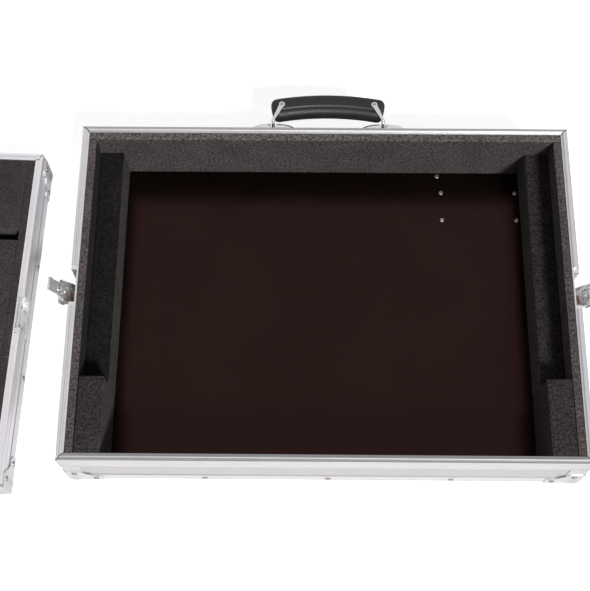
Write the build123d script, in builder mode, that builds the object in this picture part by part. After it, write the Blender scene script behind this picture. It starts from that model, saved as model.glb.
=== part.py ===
from build123d import *
import os

os.makedirs("parts", exist_ok=True)

# Keyboard flight case: a foam lined base with its lift off lid lying open beside it.
# Frame: Z up, X along the long side, Y from front to back. Pieces are drawn about the middle of the base
# opening, then set down so that the origin is on the ground in the middle of the whole open set.

# Base opening, measured at the rim.
open_w = 600.0
open_d = 416.0
base_depth = 89.0
lid_height = 60.0

# Shell sections.
ply_t = 7.0
rim_lap = 1.0
rim_skin = 1.0
angle_t = 1.2
angle_leg = 22.0
angle_round = 1.4
rim_flange = 30.0
rim_inner_flange = 22.0
rim_web = 1.8
tongue_w = 2.5
tongue_h = 3.0
tongue_in = 2.5
groove_gap = 0.3
groove_floor = 1.4
groove_side = 1.3
mate_gap = 0.4
rim_break = 0.6
rim_line_at = 13.0
rim_line_w = 1.8
rim_line_in = 0.4
lid_strip = 4.0
seam_gap = 0.2

# Ball corners.
ball_proud = 4.0
ball_r = 14.0
corner_t = 1.4
corner_leg = 42.0
corner_wide = 22.0
corner_web = 9.0
corner_round = 2.6
corner_cut = 5.0

# Foam.
liner_t = 10.0
block_w = 30.5
block_drop = 35.0
corner_block_len = 93.0
foam_drop = 0.5
lid_foam_drop = 1.0
slot_w = 14.0
slot_back = 107.5

# Rivets and bolts.
rivet_r = 3.3
rivet_h = 1.3
rivet_pitch = 149.0
rivet_mid = 5.0
rivet_in = 8.0
small_rivet_r = 2.0
small_rivet_h = 0.8
bolt_r = 3.0
bolt_h = 1.6
# Counted in from the foam block on the right and from the foam liner at the back.
bolt_places = [(103.0, 29.0), (103.0, 69.0), (4.5, 29.0), (4.5, 69.0), (107.5, 4.5)]

# Latches: heights count down from the rim, and u counts outward from the edge of the opening.
latch_y = -2.0
dish_half = 22.0
dish_lip = 5.0
dish_drop = 52.0
keeper_gap = 1.0
dish_t = 1.0
dish_seat = 0.1
dish_cut = 3.0
lip_t = 0.8
lip_seat = 0.05
latch_pivot_u = 5.2
latch_pivot_drop = 46.0
pin_r = 1.5
pin_gap = 0.3
knuckle_r = 2.7
bracket_t = 1.2
bracket_gap = 0.7
bracket_edge = 0.6
bracket_low = 6.0
bracket_high = 9.0
link_half = 13.5
link_tip_half = 9.5
link_t = 1.2
link_top_drop = 6.0
link_cut = 2.0
flange_slope = 12.0
flange_end_drop = 14.0
hook_half = 8.0
hook_u = 4.8
hook_t = 1.4
hook_lip = 0.9
hook_lip_in = 1.5
hook_lip_gap = 0.7
hook_lip_h = 4.6
hook_slot_end = 0.4
hook_foot = 11.0
hook_foot_cut = 3.0
hook_waist = 2.0
hook_taper = 7.0
cam_drop = 18.0
cam_r = 5.0
cam_throw = 1.5
cam_gap = 0.55
cam_seat = 0.2
shaft_r = 3.2
shaft_step = 0.8
shaft_end = 0.9
drum_r = 9.0
drum_t = 1.2
key_reach = 15.0
key_t = 1.1
key_waist = 4.6
key_waist_half = 5.0
key_tip_half = 7.0
key_cut = 2.0
key_rib_t = 1.4
key_rib_h = 1.3
key_rib_half = 4.8
latch_open_deg = 28.0
layer_gap = 0.3
strike_low = 4.0
strike_high = 9.5
strike_t = 0.9
strike_side_gap = 0.5
lip_rivet_v = 24.3
lip_rivet_drops = (12.0, 44.0)
keeper_rivet_v = 12.0
keeper_rivet_up = 9.0

# Handle.
handle_x = 4.5
handle_drop = 24.0
handle_pivot_out = 4.6
arm_r = 2.2
arm_gap = 0.3
arm_bend = 13.0
strap_t = 2.4
strap_half = 1.7
eye_r = 3.9
eye_rivet_r = 1.7
eye_rivet_gap = 0.1
eye_head_over = 0.7
eye_head_h = 0.9
rod_step = 0.15
strap_gap = 0.1
strap_flare = 0.8
foot_half = 71.0
foot_len = 16.0
eye_half = 60.0
eye_out = 35.5
grip_half = 73.0
grip_out_mid = 43.7
grip_out_end = 36.0
grip_wide = 29.0
grip_thick = 22.0
grip_round = 7.0
grip_end_round = 5.0
plate_w = 44.0
plate_h = 34.0
plate_flange_t = 1.6
plate_t = 9.0
plate_hill_h = 19.0
plate_slot_in = 1.8
plate_slot_gap = 0.6
plate_round = 8.0
plate_edge = 2.0
plate_bore_gap = 1.0
screw_r = 2.6
screw_h = 0.9
screw_x = 13.0
screw_z = 13.2

# Lid place beside the base: it lies a little nearer the front and slightly turned.
lid_turn_deg = 1.8
lid_gap = 64.5
lid_shift = -9.3

# Derived sizes.
rim_w = rim_lap + ply_t + rim_skin
shell_x = open_w / 2 + rim_lap + ply_t + angle_t
shell_y = open_d / 2 + rim_lap + ply_t + angle_t
floor_z = ball_proud + angle_t
floor_top = floor_z + ply_t
base_rim = floor_top + base_depth
half_in = {"front": open_d / 2, "back": open_d / 2, "left": open_w / 2, "right": open_w / 2}
outward = {"front": (0, -1), "back": (0, 1), "left": (-1, 0), "right": (1, 0)}
corners = [(-1, -1), (1, -1), (-1, 1), (1, 1)]

lid_x = -(open_w + 2 * rim_w + lid_gap)
lid_place = Location((lid_x, lid_shift, 0), (0, 0, -lid_turn_deg))

# On the shallow lid the rim flange and the latch keeper end a set gap above the bottom angle.
lid_flange = lid_height - ball_proud - angle_leg - lid_strip
keeper_drop = lid_height - ball_proud - angle_leg - dish_lip - keeper_gap

# The latch is stacked outward: hook, link, drum, wings.
link_u = hook_u + hook_t + layer_gap
drum_u = link_u + link_t + layer_gap
wing_u = drum_u + drum_t


pieces = {}


def save(piece, name):
    pieces[name] = piece


def side_plane(side, height):
    """Section plane at the start of one side: local X points outward from the opening, local Y up."""
    ox, oy = outward[side]
    run = shell_x if side in ("front", "back") else shell_y
    normal = Vector(ox, oy, 0).cross(Vector(0, 0, 1))
    start = Vector(ox, oy, 0) * half_in[side] - normal * run
    return Plane(origin=(start.X, start.Y, height), x_dir=(ox, oy, 0), z_dir=normal)


def side_run(side):
    return 2 * shell_x if side in ("front", "back") else 2 * shell_y


def mitre_zone(side):
    """Plan outline of one side, cut off at 45 degrees at both ends."""
    far = 2 * ball_proud
    near = 2 * rim_flange
    if side in ("front", "back"):
        s = outward[side][1]
        return [(-shell_x - far, s * (shell_y + far)), (shell_x + far, s * (shell_y + far)),
                (shell_x - near, s * (shell_y - near)), (-shell_x + near, s * (shell_y - near))]
    s = outward[side][0]
    return [(s * (shell_x + far), -shell_y - far), (s * (shell_x + far), shell_y + far),
            (s * (shell_x - near), shell_y - near), (s * (shell_x - near), -shell_y + near)]


def make_floor():
    with BuildPart() as panel:
        with Locations((0, 0, floor_z)):
            Box(open_w + 2 * rim_lap, open_d + 2 * rim_lap, ply_t,
                align=(Align.CENTER, Align.CENTER, Align.MIN))
    return panel.part


def make_wall(side, top, window_low):
    """Plywood wall; the left and right ones have a latch window open at the rim."""
    ox, oy = outward[side]
    mid = half_in[side] + rim_lap + ply_t / 2
    with BuildPart() as wall:
        with Locations((ox * mid, oy * mid, floor_z)):
            if side in ("front", "back"):
                Box(open_w + 2 * rim_lap + 2 * ply_t, ply_t, top - floor_z,
                    align=(Align.CENTER, Align.CENTER, Align.MIN))
            else:
                Box(ply_t, open_d + 2 * rim_lap, top - floor_z,
                    align=(Align.CENTER, Align.CENTER, Align.MIN))
        if side in ("left", "right"):
            with Locations((ox * mid, latch_y, window_low)):
                Box(ply_t * 3, 2 * (dish_half + seam_gap), top, align=(Align.CENTER, Align.CENTER, Align.MIN),
                    mode=Mode.SUBTRACT)
    return wall.part


def rim_points(has_tongue, flange):
    """Rim section: X counts outward from the opening, Y down from the rim face."""
    out = rim_w
    low = -flange
    line = -rim_line_at
    tip = tongue_in + tongue_w
    if has_tongue:
        top = [(0, 0), (tongue_in, 0), (tongue_in, tongue_h - rim_break), (tongue_in + rim_break, tongue_h),
               (tip - rim_break, tongue_h), (tip, tongue_h - rim_break), (tip, 0)]
        under = [(out - rim_skin, -rim_web), (rim_lap, -rim_web)]
    else:
        deep = -(tongue_h + groove_gap)
        seat = deep - groove_floor
        top = [(0, 0), (tongue_in - groove_gap, 0), (tongue_in - groove_gap, deep),
               (tip + groove_gap, deep), (tip + groove_gap, 0)]
        under = [(out - rim_skin, -rim_web), (tip + groove_side, -rim_web), (tip + groove_side, seat), (rim_lap, seat)]
    outer = [(out - rim_break, 0), (out, -rim_break), (out, line), (out - rim_line_in, line - rim_line_in),
             (out - rim_line_in, line - rim_line_w + rim_line_in), (out, line - rim_line_w),
             (out, low + rim_break), (out - rim_break, low), (out - rim_skin, low)]
    return top + outer + under + [(rim_lap, -rim_inner_flange), (0, -rim_inner_flange)]


def make_rim(side, height, has_tongue, flange):
    """Hybrid rim extrusion, mitred at its ends and notched for the latch dish."""
    with BuildPart() as rim:
        with BuildSketch(side_plane(side, height)):
            with BuildLine():
                Polyline(*rim_points(has_tongue, flange), close=True)
            make_face()
        extrude(amount=side_run(side))
        with BuildSketch(Plane.XY):
            with BuildLine():
                Polyline(*mitre_zone(side), close=True)
            make_face()
        extrude(amount=height + rim_flange, mode=Mode.INTERSECT)
        if side in ("left", "right"):
            ox = outward[side][0]
            with Locations((ox * (open_w / 2 + rim_lap), latch_y, height + rim_flange / 2)):
                Box(2 * rim_w, 2 * (dish_half + dish_lip + seam_gap), 2 * rim_flange,
                    align=(Align.MIN if ox > 0 else Align.MAX, Align.CENTER, Align.MAX),
                    mode=Mode.SUBTRACT)
    return rim.part


def make_bottom_angle(side):
    """Rounded angle along one bottom edge, mitred at its ends."""
    out = rim_lap + ply_t + angle_t
    with BuildPart() as angle:
        with BuildSketch(side_plane(side, ball_proud)):
            with BuildLine():
                Polyline((out, angle_leg), (out - angle_t, angle_leg), (out - angle_t, angle_t),
                         (out - angle_leg, angle_t), (out - angle_leg, 0), (out - angle_round, 0),
                         (out - 0.4 * angle_round, 0.4 * angle_round - 0.15), (out, angle_round),
                         (out, angle_leg))
            make_face()
        extrude(amount=side_run(side))
        with BuildSketch(Plane.XY):
            with BuildLine():
                Polyline(*mitre_zone(side), close=True)
            make_face()
        extrude(amount=ball_proud + 2 * angle_leg, mode=Mode.INTERSECT)
    return angle.part


def make_corner_angles(low, high):
    """Four upright corner angles between the bottom angles and the rim."""
    with BuildPart() as posts:
        with BuildSketch(Plane.XY.offset(low)):
            with BuildLine():
                Polyline((shell_x, shell_y - angle_leg), (shell_x - angle_t, shell_y - angle_leg),
                         (shell_x - angle_t, shell_y - angle_t), (shell_x - angle_leg, shell_y - angle_t),
                         (shell_x - angle_leg, shell_y), (shell_x - angle_round, shell_y),
                         (shell_x - 0.4, shell_y - 0.4), (shell_x, shell_y - angle_round), close=True)
            make_face()
            mirror(about=Plane.YZ)
            mirror(about=Plane.XZ)
        extrude(amount=high - low)
    return posts.part


def corner_outline():
    """Two riveted legs with a sloping web between them; both axes count from the case corner."""
    t = corner_t
    leg = corner_leg
    w = corner_wide
    cut = corner_cut
    return [(-t, -t), (leg, -t), (leg, w - cut), (leg - cut, w), (w + corner_web, w),
            (w, w + corner_web), (w, leg - cut), (w - cut, leg), (-t, leg)]


def make_ball_corners():
    """Pressed corners: flat plates on three faces of each case corner with a ball at its tip."""
    tip = Vector(-shell_x, -shell_y, ball_proud)
    lean = ball_r - ball_proud
    reach = 2 * corner_leg
    with BuildPart() as pressed:
        for z_dir, x_dir in (((-1, 0, 0), (0, 0, 1)), ((0, -1, 0), (1, 0, 0)), ((0, 0, -1), (0, 1, 0))):
            with BuildSketch(Plane(origin=tip, x_dir=x_dir, z_dir=z_dir)):
                with BuildLine():
                    Polyline(*corner_outline(), close=True)
                make_face()
            extrude(amount=corner_t)
        long_edges = [e for e in pressed.edges() if e.length > corner_leg]
        fillet(long_edges, radius=corner_round)
        with Locations(tip + Vector(lean, lean, lean)):
            Sphere(ball_r)
        with Locations(tip):
            Box(reach, reach, reach, align=(Align.MIN, Align.MIN, Align.MIN), mode=Mode.SUBTRACT)
        mirror(about=Plane.YZ)
        mirror(about=Plane.XZ)
    return pressed.part


def rivet_head(place, direction, radius, height):
    """Domed head standing on a face at place."""
    with BuildPart() as head:
        with Locations(Plane(origin=place, z_dir=direction)):
            Cylinder(radius, height, align=(Align.CENTER, Align.CENTER, Align.MIN))
        chamfer(head.faces().filter_by(GeomType.PLANE).sort_by(
            lambda f: f.center().dot(Vector(*direction)))[-1].edges(), length=0.45 * height)
    return head.part


def make_shell_rivets():
    """Rivets along the bottom angles and through the corner plates."""
    mid = ball_proud + angle_leg / 2
    spots = []
    for k in (-1, 0, 1):
        for sy in (-1, 1):
            spots.append(((rivet_mid + k * rivet_pitch, sy * shell_y, mid), (0, sy, 0)))
    for k in (-1, 1):
        for sx in (-1, 1):
            spots.append(((sx * shell_x, k * rivet_pitch / 2, mid), (sx, 0, 0)))
    far = corner_leg - rivet_in
    near = corner_wide / 2
    for sx, sy in corners:
        px = sx * (shell_x + corner_t)
        py = sy * (shell_y + corner_t)
        for a, b in ((far, near), (near, far)):
            spots.append(((px, sy * (shell_y - a), ball_proud + b), (sx, 0, 0)))
            spots.append(((sx * (shell_x - a), py, ball_proud + b), (0, sy, 0)))
            spots.append(((sx * (shell_x - a), sy * (shell_y - b), ball_proud - corner_t), (0, 0, -1)))
    return [rivet_head(p, d, rivet_r, rivet_h) for p, d in spots]


def make_floor_bolts():
    foam_x = open_w / 2 - liner_t - block_w
    foam_y = open_d / 2 - liner_t
    return [rivet_head((foam_x - a, foam_y - b, floor_top), (0, 0, 1), bolt_r, bolt_h)
            for a, b in bolt_places]


def foam_strip(side, height, drop, back_gap):
    """Foam liner on one wall, stepped round the inner flange of the rim."""
    top = height - drop
    step = height - rim_inner_flange
    with BuildPart() as strip:
        with BuildSketch(side_plane(side, 0)):
            with BuildLine():
                Polyline((-liner_t, floor_top), (rim_lap, floor_top), (rim_lap, step), (0, step), (0, top),
                         (-liner_t, top), close=True)
            make_face()
        extrude(amount=side_run(side))
        if side == "back":
            Box(open_w, 2 * shell_y, 3 * height, mode=Mode.INTERSECT)
        else:
            with Locations((0, -open_d / 2, 0)):
                Box(2 * shell_x, open_d - back_gap, 3 * height,
                    align=(Align.CENTER, Align.MIN, Align.CENTER), mode=Mode.INTERSECT)
    return strip.part


def make_side_block(s):
    """Low foam block along one side, from the back liner to the corner block."""
    back = open_d / 2 - liner_t
    front = -open_d / 2 + corner_block_len
    with BuildPart() as block:
        with Locations((s * (open_w / 2 - liner_t - block_w / 2), (front + back) / 2, floor_top)):
            Box(block_w, back - front, base_depth - block_drop, align=(Align.CENTER, Align.CENTER, Align.MIN))
    return block.part


def make_corner_block(s):
    """Tall foam block in one front corner, level with the rim."""
    front = -open_d / 2
    with BuildPart() as block:
        with Locations((s * (open_w / 2 - liner_t - block_w / 2), front + corner_block_len / 2, floor_top)):
            Box(block_w, corner_block_len, base_depth - foam_drop,
                align=(Align.CENTER, Align.CENTER, Align.MIN))
    return block.part


def make_lid_pad(low_y, high_y):
    """Foam pad across the lid between its side liners."""
    with BuildPart() as pad:
        with Locations((0, (low_y + high_y) / 2, floor_top)):
            Box(open_w - 2 * liner_t, high_y - low_y, lid_height - lid_foam_drop - floor_top,
                align=(Align.CENTER, Align.CENTER, Align.MIN))
    return pad.part


def slab(s, u, v, z, mode=Mode.ADD):
    """Box in latch axes: u outward from the opening edge, v along the wall, z up."""
    with Locations((s * (open_w / 2 + (u[0] + u[1]) / 2), latch_y + (v[0] + v[1]) / 2, (z[0] + z[1]) / 2)):
        Box(u[1] - u[0], v[1] - v[0], z[1] - z[0], mode=mode)


def stud(s, u, v, z, radius, mode=Mode.ADD):
    """Cylinder along u, from u[0] to u[1]."""
    with Locations(Plane(origin=(s * (open_w / 2 + u[0]), latch_y + v, z), z_dir=(s, 0, 0))):
        Cylinder(radius, u[1] - u[0], align=(Align.CENTER, Align.CENTER, Align.MIN), mode=mode)


def face_plane(s, u):
    """Sketch plane parallel to the side wall: local X runs along the wall, local Y is up."""
    return Plane(origin=(s * (open_w / 2 + u), latch_y, 0), x_dir=(0, 1, 0), z_dir=(1, 0, 0))


def edge_plane(s, v):
    """Sketch plane square to the side wall: local X is u, local Y is up."""
    return Plane(origin=(s * open_w / 2, latch_y + v, 0), x_dir=(s, 0, 0), z_dir=(0, -s, 0))


def make_dish(s, height, drop, is_keeper):
    """Pressed dish set in the latch window; the base one carries the pivot pin, the lid one the strike bar."""
    top = height - seam_gap
    low = height - drop + seam_gap
    floor_u = rim_lap + dish_seat
    wall_u = rim_lap + ply_t
    lip_u = wall_u + lip_seat + lip_t
    lip = dish_half + dish_lip
    cut = dish_cut
    with BuildPart() as dish:
        slab(s, (floor_u, floor_u + dish_t), (-dish_half, dish_half), (low, top))
        for side in (-1, 1):
            edge = sorted((side * (dish_half - dish_t), side * dish_half))
            slab(s, (floor_u, lip_u), edge, (low, top))
            ear = sorted((side * (dish_half - dish_t), side * lip))
            slab(s, (floor_u, lip_u), ear, (height - rim_web, top))
        slab(s, (floor_u, lip_u), (-dish_half, dish_half), (low, low + dish_t))
        with BuildSketch(face_plane(s, wall_u + lip_seat)):
            with BuildLine():
                Polyline((-lip, top), (-lip, low - dish_lip + cut), (-lip + cut, low - dish_lip),
                         (lip - cut, low - dish_lip), (lip, low - dish_lip + cut), (lip, top),
                         (dish_half - dish_t, top), (dish_half - dish_t, low + dish_t),
                         (dish_t - dish_half, low + dish_t), (dish_t - dish_half, top), close=True)
            make_face()
        extrude(amount=s * lip_t)
        if is_keeper:
            slab(s, (hook_u - layer_gap - strike_t, hook_u - layer_gap),
                 (strike_side_gap - dish_half, dish_half - strike_side_gap),
                 (height + mate_gap - strike_high, height + mate_gap - strike_low))
        else:
            pivot = height - latch_pivot_drop
            for side in (-1, 1):
                with BuildSketch(edge_plane(s, side * (link_half + bracket_gap + bracket_t / 2))):
                    with Locations((latch_pivot_u, pivot)):
                        Circle(knuckle_r + bracket_edge)
                    with BuildLine():
                        Polyline((floor_u + dish_t, pivot - bracket_low),
                                 (floor_u + dish_t, pivot + bracket_high),
                                 (latch_pivot_u, pivot + knuckle_r), (latch_pivot_u, pivot - knuckle_r),
                                 close=True)
                    make_face()
                extrude(amount=bracket_t / 2, both=True)
            with Locations(Plane(origin=(s * (open_w / 2 + latch_pivot_u), latch_y, pivot), z_dir=(0, 1, 0))):
                Cylinder(pin_r, 2 * (link_half + bracket_gap + bracket_t + bracket_edge))
    return dish.part


def swing_out(piece, s):
    """Latch arms rest tilted out of their dishes."""
    pivot = Axis((s * (open_w / 2 + latch_pivot_u), latch_y, base_rim - latch_pivot_drop), (0, 1, 0))
    return piece.rotate(pivot, s * latch_open_deg)


def make_link(s):
    """Swinging channel: a web with the key's bearing hole, two side flanges and a knuckle on the pin."""
    pivot = base_rim - latch_pivot_drop
    flange_u = latch_pivot_u - knuckle_r
    flange_end = base_rim - flange_end_drop
    tip = base_rim - link_top_drop
    with BuildPart() as link:
        with BuildSketch(face_plane(s, link_u)):
            with BuildLine():
                Polyline((-link_half, pivot), (-link_half, flange_end), (-link_tip_half, tip - link_cut),
                         (link_cut - link_tip_half, tip), (link_tip_half - link_cut, tip),
                         (link_tip_half, tip - link_cut), (link_half, flange_end), (link_half, pivot),
                         close=True)
            make_face()
        extrude(amount=s * link_t)
        for side in (-1, 1):
            with BuildSketch(edge_plane(s, side * (link_half - link_t / 2))):
                with Locations((latch_pivot_u, pivot)):
                    Circle(knuckle_r)
                with BuildLine():
                    Polyline((flange_u, pivot), (flange_u, flange_end - flange_slope), (link_u, flange_end),
                             (link_u + link_t, flange_end), (link_u + link_t, pivot), close=True)
                make_face()
            extrude(amount=link_t / 2, both=True)
        with Locations(Plane(origin=(s * (open_w / 2 + latch_pivot_u), latch_y, pivot), z_dir=(0, 1, 0))):
            Cylinder(knuckle_r, 2 * link_half)
            Cylinder(pin_r + pin_gap, 3 * link_half, mode=Mode.SUBTRACT)
        stud(s, (hook_u, drum_u), 0, base_rim - cam_drop, shaft_r + layer_gap, Mode.SUBTRACT)
    return swing_out(link.part, s)


def make_hook(s):
    """Sliding plate pulled by the cam, with a lip at its end that drops behind the strike bar."""
    mid = base_rim - cam_drop + cam_throw
    body_half = link_half - link_t - layer_gap
    foot = mid - hook_foot
    shoulder = mid + hook_waist
    lip_low = base_rim + strike_high + hook_lip_gap
    top = lip_low + hook_lip_h
    lip_u = hook_u - hook_lip_in
    slot_half = cam_r + cam_throw + hook_slot_end
    with BuildPart() as hook:
        with BuildSketch(face_plane(s, hook_u)):
            with BuildLine():
                Polyline((-body_half, foot + hook_foot_cut), (hook_foot_cut - body_half, foot),
                         (body_half - hook_foot_cut, foot), (body_half, foot + hook_foot_cut),
                         (body_half, shoulder), (hook_half, shoulder + hook_taper), (hook_half, top),
                         (-hook_half, top), (-hook_half, shoulder + hook_taper), (-body_half, shoulder),
                         close=True)
            make_face()
        extrude(amount=s * hook_t)
        slab(s, (hook_u - hook_t, hook_u + 2 * hook_t), (-slot_half, slot_half),
             (mid - cam_r - cam_gap, mid + cam_r + cam_gap), Mode.SUBTRACT)
        slab(s, (lip_u - hook_lip, hook_u + hook_t), (-hook_half, hook_half), (top - hook_t, top))
        slab(s, (lip_u - hook_lip, lip_u), (-hook_half, hook_half), (lip_low, top))
    return swing_out(hook.part, s)


def make_key(s):
    """Butterfly key: ribbed wings and a drum outside, a shaft through the link, an off centre cam inside."""
    cam_z = base_rim - cam_drop
    tip = key_tip_half - key_cut
    half = [(-key_reach, tip), (key_cut - key_reach, key_tip_half), (-key_waist_half, key_waist),
            (key_waist_half, key_waist), (key_reach - key_cut, key_tip_half), (key_reach, tip)]
    wing = half + [(-v, -z) for v, z in half]
    with BuildPart() as key:
        stud(s, (hook_u - cam_seat, hook_u + hook_t + cam_seat / 2), 0, cam_z + cam_throw, cam_r)
        stud(s, (hook_u - shaft_end, hook_u - cam_seat), 0, cam_z, shaft_r - shaft_step)
        stud(s, (hook_u - cam_seat, drum_u), 0, cam_z, shaft_r)
        stud(s, (drum_u, wing_u), 0, cam_z, drum_r)
        with BuildSketch(face_plane(s, wing_u)):
            with BuildLine():
                Polyline(*[(v, cam_z + z) for v, z in wing], close=True)
            make_face()
        extrude(amount=s * key_t)
        for side in (-1, 1):
            rib = sorted((side * (key_reach - key_rib_t), side * key_reach))
            slab(s, (wing_u, wing_u + key_t + key_rib_h), rib, (cam_z - key_rib_half, cam_z + key_rib_half))
    return swing_out(key.part, s)


def make_dish_rivets(s, height, drop, is_keeper):
    """Small rivets in the floor of a keeper, or on the lip of a latch dish."""
    if is_keeper:
        floor_u = rim_lap + dish_seat + dish_t
        spots = [(v, height - drop + keeper_rivet_up, floor_u) for v in (-keeper_rivet_v, keeper_rivet_v)]
    else:
        lip_u = rim_lap + ply_t + lip_seat + lip_t
        spots = [(v, height - k, lip_u) for v in (-lip_rivet_v, lip_rivet_v) for k in lip_rivet_drops]
    return [rivet_head((s * (open_w / 2 + u), latch_y + v, z), (s, 0, 0), small_rivet_r, small_rivet_h)
            for v, z, u in spots]


# Handle: it rests standing straight out from the back wall.
handle_y = open_d / 2 + rim_w + handle_pivot_out
handle_z = base_rim - handle_drop


def make_handle_plate(s):
    """Flange with a low arched body, slotted for the arm and bored across for its foot."""
    wall_y = open_d / 2 + rim_w
    foot_x = handle_x + s * foot_half
    hill_half = plate_w / 2 - plate_edge
    wall_plane = Plane(origin=(foot_x, wall_y, handle_z), x_dir=(1, 0, 0), z_dir=(0, 1, 0))
    with BuildPart() as plate:
        with BuildSketch(wall_plane):
            RectangleRounded(plate_w, plate_h, plate_round)
        extrude(amount=plate_flange_t)
        with BuildSketch(Plane.XY.offset(handle_z)):
            with BuildLine():
                edge_y = wall_y + plate_flange_t
                ThreePointArc((foot_x - hill_half, edge_y), (foot_x, wall_y + plate_t),
                              (foot_x + hill_half, edge_y))
                Polyline((foot_x + hill_half, edge_y), (foot_x + hill_half, wall_y),
                         (foot_x - hill_half, wall_y), (foot_x - hill_half, edge_y))
            make_face()
        extrude(amount=plate_hill_h / 2, both=True)
        with Locations((foot_x, wall_y + plate_slot_in, handle_z)):
            Box(2 * (arm_r + plate_slot_gap), plate_t, 2 * plate_h, align=(Align.CENTER, Align.MIN, Align.CENTER),
                mode=Mode.SUBTRACT)
        with Locations(Plane(origin=(foot_x, handle_y, handle_z), z_dir=(1, 0, 0))):
            Cylinder(arm_r + arm_gap, foot_len + 2 * plate_bore_gap, mode=Mode.SUBTRACT)
    return plate.part


def make_handle_arm(s):
    """Rod with a cross foot in the plate, rising to a flat tapered strap that ends in an eye on the grip."""
    foot = Vector(handle_x + s * foot_half, handle_y, handle_z)
    strap_z = handle_z + grip_thick / 2 + strap_gap
    bend = Vector(foot.X, handle_y + arm_bend, strap_z + strap_t / 2)
    eye = Vector(handle_x + s * eye_half, handle_y + eye_out, strap_z + strap_t / 2)
    run = eye - bend
    with BuildPart() as arm:
        with Locations(Plane(origin=foot, z_dir=(1, 0, 0))):
            Cylinder(arm_r, foot_len)
        with Locations(Plane(origin=foot, z_dir=bend - foot)):
            Cylinder(arm_r - rod_step, (bend - foot).length, align=(Align.CENTER, Align.CENTER, Align.MIN))
        with Locations(bend):
            Sphere(arm_r)
        with BuildSketch(Plane(origin=bend, x_dir=run, z_dir=(0, 0, 1))):
            with BuildLine():
                Polyline((0, -strap_half), (run.length, strap_flare - eye_r), (run.length, eye_r - strap_flare),
                         (0, strap_half), close=True)
            make_face()
            with Locations((run.length, 0)):
                Circle(eye_r)
                Circle(eye_rivet_r + eye_rivet_gap, mode=Mode.SUBTRACT)
        extrude(amount=strap_t / 2, both=True)
    return arm.part


def make_grip():
    """Arched grip of rounded section."""
    wall_y = open_d / 2 + rim_w
    start = (handle_x - grip_half, wall_y + grip_out_end, handle_z)
    mid = (handle_x, wall_y + grip_out_mid, handle_z)
    end = (handle_x + grip_half, wall_y + grip_out_end, handle_z)
    with BuildPart() as grip:
        with BuildLine() as path:
            ThreePointArc(start, mid, end)
        with BuildSketch(Plane(origin=path.line @ 0, x_dir=(0, 0, 1), z_dir=path.line % 0)):
            RectangleRounded(grip_thick, grip_wide, grip_round)
        sweep()
        ends = grip.faces().sort_by(Axis.X)
        fillet(ends[0].edges() + ends[-1].edges(), radius=grip_end_round)
    return grip.part


def make_eye_rivets():
    top = handle_z + grip_thick / 2 + strap_gap + strap_t
    rivets = []
    for s in (-1, 1):
        place = (handle_x + s * eye_half, handle_y + eye_out, top)
        with BuildPart() as rivet:
            with Locations(place):
                Cylinder(eye_rivet_r + eye_head_over, eye_head_h, align=(Align.CENTER, Align.CENTER, Align.MIN))
            chamfer(rivet.faces().sort_by(Axis.Z)[-1].edges(), length=0.5 * eye_head_h)
            with Locations(place):
                Cylinder(eye_rivet_r, strap_t, align=(Align.CENTER, Align.CENTER, Align.MAX))
        rivets.append(rivet.part)
    return rivets


def make_plate_screws():
    face = open_d / 2 + rim_w + plate_flange_t
    return [rivet_head((handle_x + s * foot_half + dx, face, handle_z + dz), (0, 1, 0), screw_r, screw_h)
            for s in (-1, 1) for dx in (-screw_x, screw_x) for dz in (-screw_z, screw_z)]


def as_group(pieces):
    with BuildPart() as group:
        add(pieces)
    return group.part


# Base.
save(make_floor(), "base_floor")
for side in ("front", "back", "left", "right"):
    save(make_wall(side, base_rim - rim_web, base_rim - dish_drop), "base_wall_" + side)
    save(make_rim(side, base_rim, True, rim_flange), "base_rim_" + side)
    save(make_bottom_angle(side), "base_angle_" + side)
save(make_corner_angles(ball_proud + angle_leg + seam_gap, base_rim - rim_flange - seam_gap),
     "base_corner_angles")
save(make_ball_corners(), "base_ball_corners")
save(as_group(make_shell_rivets()), "base_rivets")
save(as_group(make_floor_bolts()), "floor_bolts")
for side in ("back", "left", "right"):
    save(foam_strip(side, base_rim, foam_drop, liner_t), "foam_liner_" + side)
for s, side in ((-1, "left"), (1, "right")):
    save(make_side_block(s), "foam_block_" + side)
    save(make_corner_block(s), "foam_corner_" + side)

# Latches.
for s, side in ((-1, "left"), (1, "right")):
    save(make_dish(s, base_rim, dish_drop, False), "latch_dish_" + side)
    save(make_link(s), "latch_link_" + side)
    save(make_hook(s), "latch_hook_" + side)
    save(make_key(s), "latch_key_" + side)
save(as_group(make_dish_rivets(-1, base_rim, dish_drop, False)
              + make_dish_rivets(1, base_rim, dish_drop, False)), "latch_rivets")

# Handle.
for s, side in ((-1, "left"), (1, "right")):
    save(make_handle_plate(s), "handle_plate_" + side)
    save(make_handle_arm(s), "handle_arm_" + side)
save(make_grip(), "handle_grip")
save(as_group(make_eye_rivets()), "handle_eye_rivets")
save(as_group(make_plate_screws()), "handle_plate_screws")

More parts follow.
